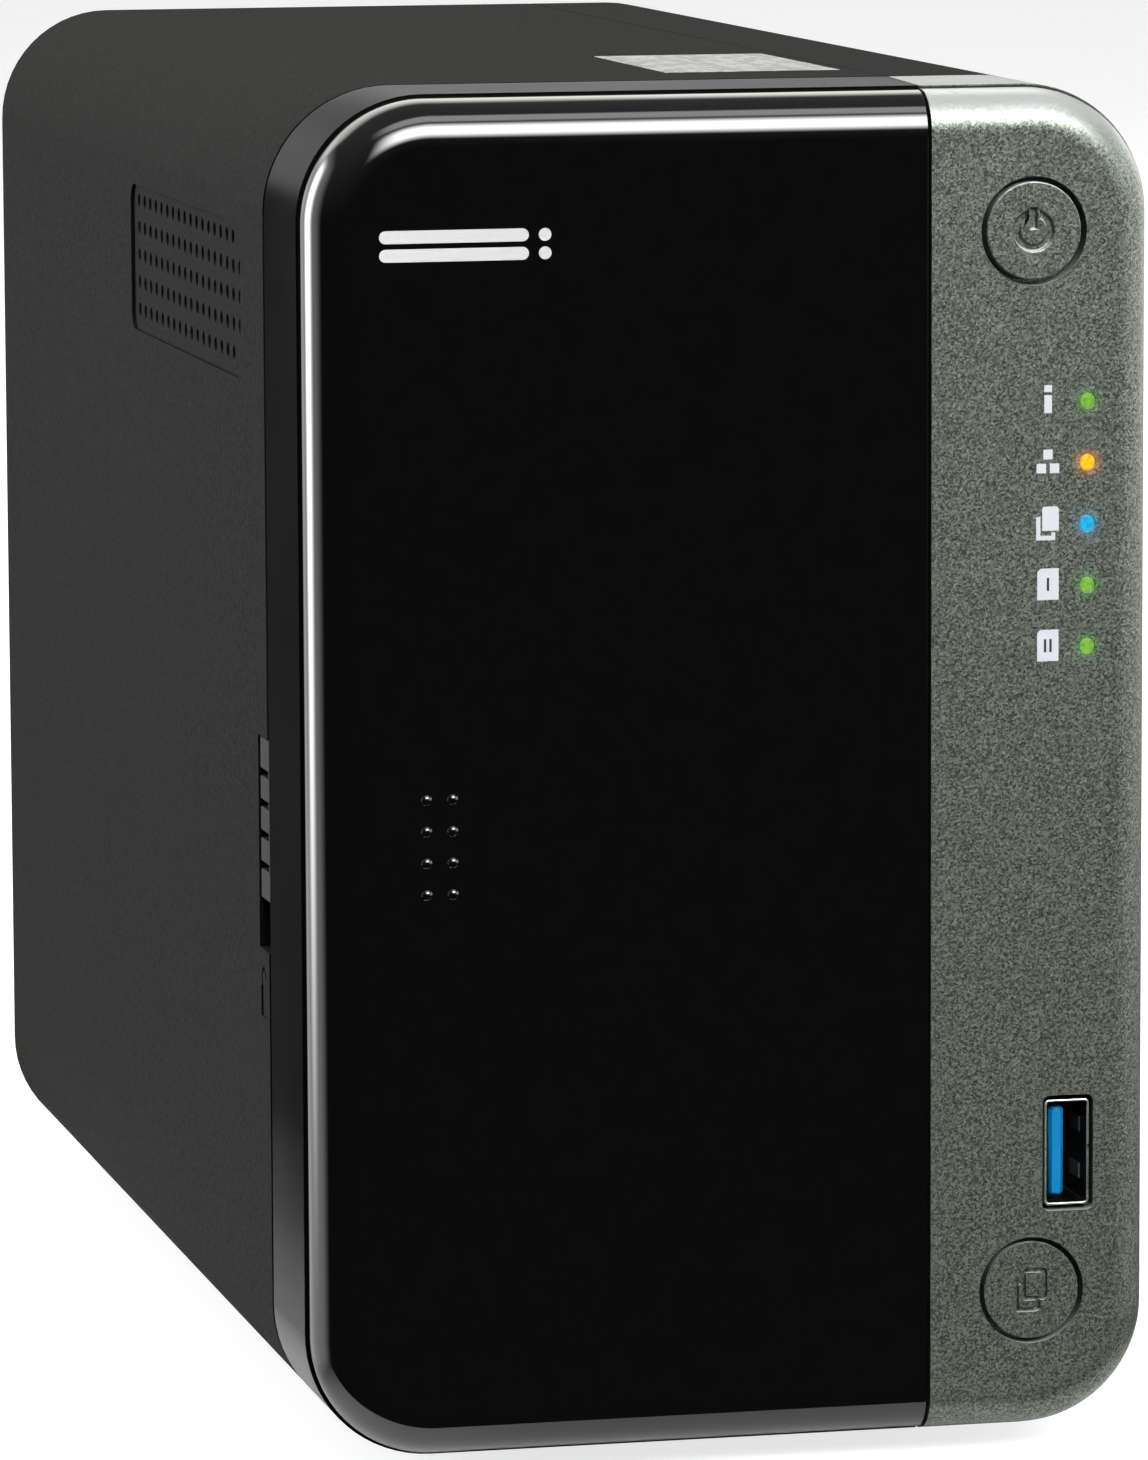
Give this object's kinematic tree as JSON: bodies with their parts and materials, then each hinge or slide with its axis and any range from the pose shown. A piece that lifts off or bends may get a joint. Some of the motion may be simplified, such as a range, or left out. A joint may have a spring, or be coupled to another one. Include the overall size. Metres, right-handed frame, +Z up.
{
  "type": "network attached storage",
  "caption": "Upright drive box with a sliding front cover over caddies, a control strip with buttons and lamps, a side vent, a fan and rear ports.",
  "frame": {"origin": "on the table plane, under the middle of the box: the middle of the bottom of its bounding box", "axes": "+X to the right seen from the front, -Y out of the front face, +Z up"},
  "size_m": [0.105, 0.226, 0.168],
  "materials": {
    "case_paint": "fine textured powder coat",
    "bezel_plastic": "smooth satin",
    "strip_paint": "metallic grey-green, fine sparkle",
    "gloss_black": "piano gloss",
    "latch_plastic": "fine matt",
    "lamp_green": "lit, clear",
    "lamp_amber": "lit, clear",
    "lamp_blue": "lit, clear",
    "lamp_chip": "satin",
    "plated_steel": "nickel plated",
    "blue_plastic": "satin",
    "circuit_board": "solder mask",
    "black_plastic": "moulded",
    "zinc_steel": "zinc plated sheet",
    "tray_plastic": "fine moulded",
    "drive_case": "cast and machined",
    "heat_sink_metal": "black anodised",
    "brass": "machined",
    "panel_paint": "satin black sheet",
    "black_screw": "black zinc",
    "foot_rubber": "matt",
    "label_white": "paper film, blank"
  },
  "bodies": {
    "chassis": {"case_cover": "case_paint", "case_side": "case_paint", "front_bezel": "bezel_plastic", "control_panel": "strip_paint", "lamp_status": "lamp_green", "lamp_network": "lamp_amber", "lamp_copy": "lamp_blue", "lamp_drive_1": "lamp_green", "lamp_drive_2": "lamp_green", "usb_front_shell": "plated_steel", "usb_front_tongue": "blue_plastic", "front_board": "circuit_board", "button_switches": "black_plastic", "lamp_chips": "lamp_chip", "cage_left": "zinc_steel", "cage_right": "zinc_steel", "cage_roof": "zinc_steel", "cage_floor": "zinc_steel", "cage_divider": "zinc_steel", "backplane": "circuit_board", "sata_connectors": "black_plastic", "mainboard": "circuit_board", "heat_sink": "heat_sink_metal", "memory_modules": "circuit_board", "memory_sockets": "black_plastic", "coin_cell": "plated_steel", "board_standoffs": "brass", "board_screws": "plated_steel", "rear_panel": "panel_paint", "fan_frame": "black_plastic", "fan_screws": "black_screw", "rear_screws": "black_screw", "lan_ports": "plated_steel", "usb_rear_shells": "plated_steel", "usb_rear_tongues": "black_plastic", "display_port": "plated_steel", "dc_inlet": "black_plastic", "dc_pin": "plated_steel", "feet": "foot_rubber", "top_label": "label_white"},
    "cover": {"front_cover": "gloss_black"},
    "latch": {"latch_slider": "latch_plastic"},
    "power_key": {"power_button": "strip_paint"},
    "copy_key": {"copy_button": "strip_paint"},
    "caddy_1": {"tray_1": "tray_plastic", "drive_1": "drive_case"},
    "handle_1": {"tray_handle_1": "tray_plastic"},
    "caddy_2": {"tray_2": "tray_plastic", "drive_2": "drive_case"},
    "handle_2": {"tray_handle_2": "tray_plastic"},
    "rotor": {"fan_rotor": "black_plastic"},
    "reset_key": {"reset_button": "black_plastic"}
  },
  "joints": [
    {"name": "cover_slide", "type": "slide", "parent": "chassis", "child": "cover", "axis": [0, -1, 0], "range_m": [0, 0.3]},
    {"name": "tray_1_slide", "type": "slide", "parent": "chassis", "child": "caddy_1", "axis": [0, -1, 0], "range_m": [0, 0.151]},
    {"name": "tray_2_slide", "type": "slide", "parent": "chassis", "child": "caddy_2", "axis": [0, -1, 0], "range_m": [0, 0.151]},
    {"name": "handle_1_hinge", "type": "hinge", "parent": "caddy_1", "child": "handle_1", "pos_m": [-0.0253, -0.10125, 0.135], "axis": [-1, 0, 0], "range_deg": [0, 61]},
    {"name": "handle_2_hinge", "type": "hinge", "parent": "caddy_2", "child": "handle_2", "pos_m": [0.0069, -0.10125, 0.135], "axis": [-1, 0, 0], "range_deg": [0, 61]},
    {"name": "latch_slide", "type": "slide", "parent": "chassis", "child": "latch", "axis": [0, 0, -1], "range_m": [0, 0.006]},
    {"name": "power_press", "type": "slide", "parent": "chassis", "child": "power_key", "axis": [0, 1, 0], "range_m": [0, 0.0008], "stiffness_N_per_m": 900},
    {"name": "copy_press", "type": "slide", "parent": "chassis", "child": "copy_key", "axis": [0, 1, 0], "range_m": [0, 0.0008], "stiffness_N_per_m": 900},
    {"name": "fan_spin", "type": "hinge", "parent": "chassis", "child": "rotor", "pos_m": [-0.01, 0.098, 0.103], "axis": [0, 1, 0], "continuous": true},
    {"name": "reset_press", "type": "slide", "parent": "chassis", "child": "reset_key", "axis": [0, -1, 0], "range_m": [0, 0.0005], "stiffness_N_per_m": 600}
  ],
  "couplings": [
    {"joint": "tray_1_slide", "follows": "cover_slide", "ratio": 0.5},
    {"joint": "tray_2_slide", "follows": "cover_slide", "ratio": 0.5},
    {"joint": "handle_1_hinge", "follows": "cover_slide", "rad_per_m": 3.5},
    {"joint": "handle_2_hinge", "follows": "cover_slide", "rad_per_m": 3.5}
  ]
}
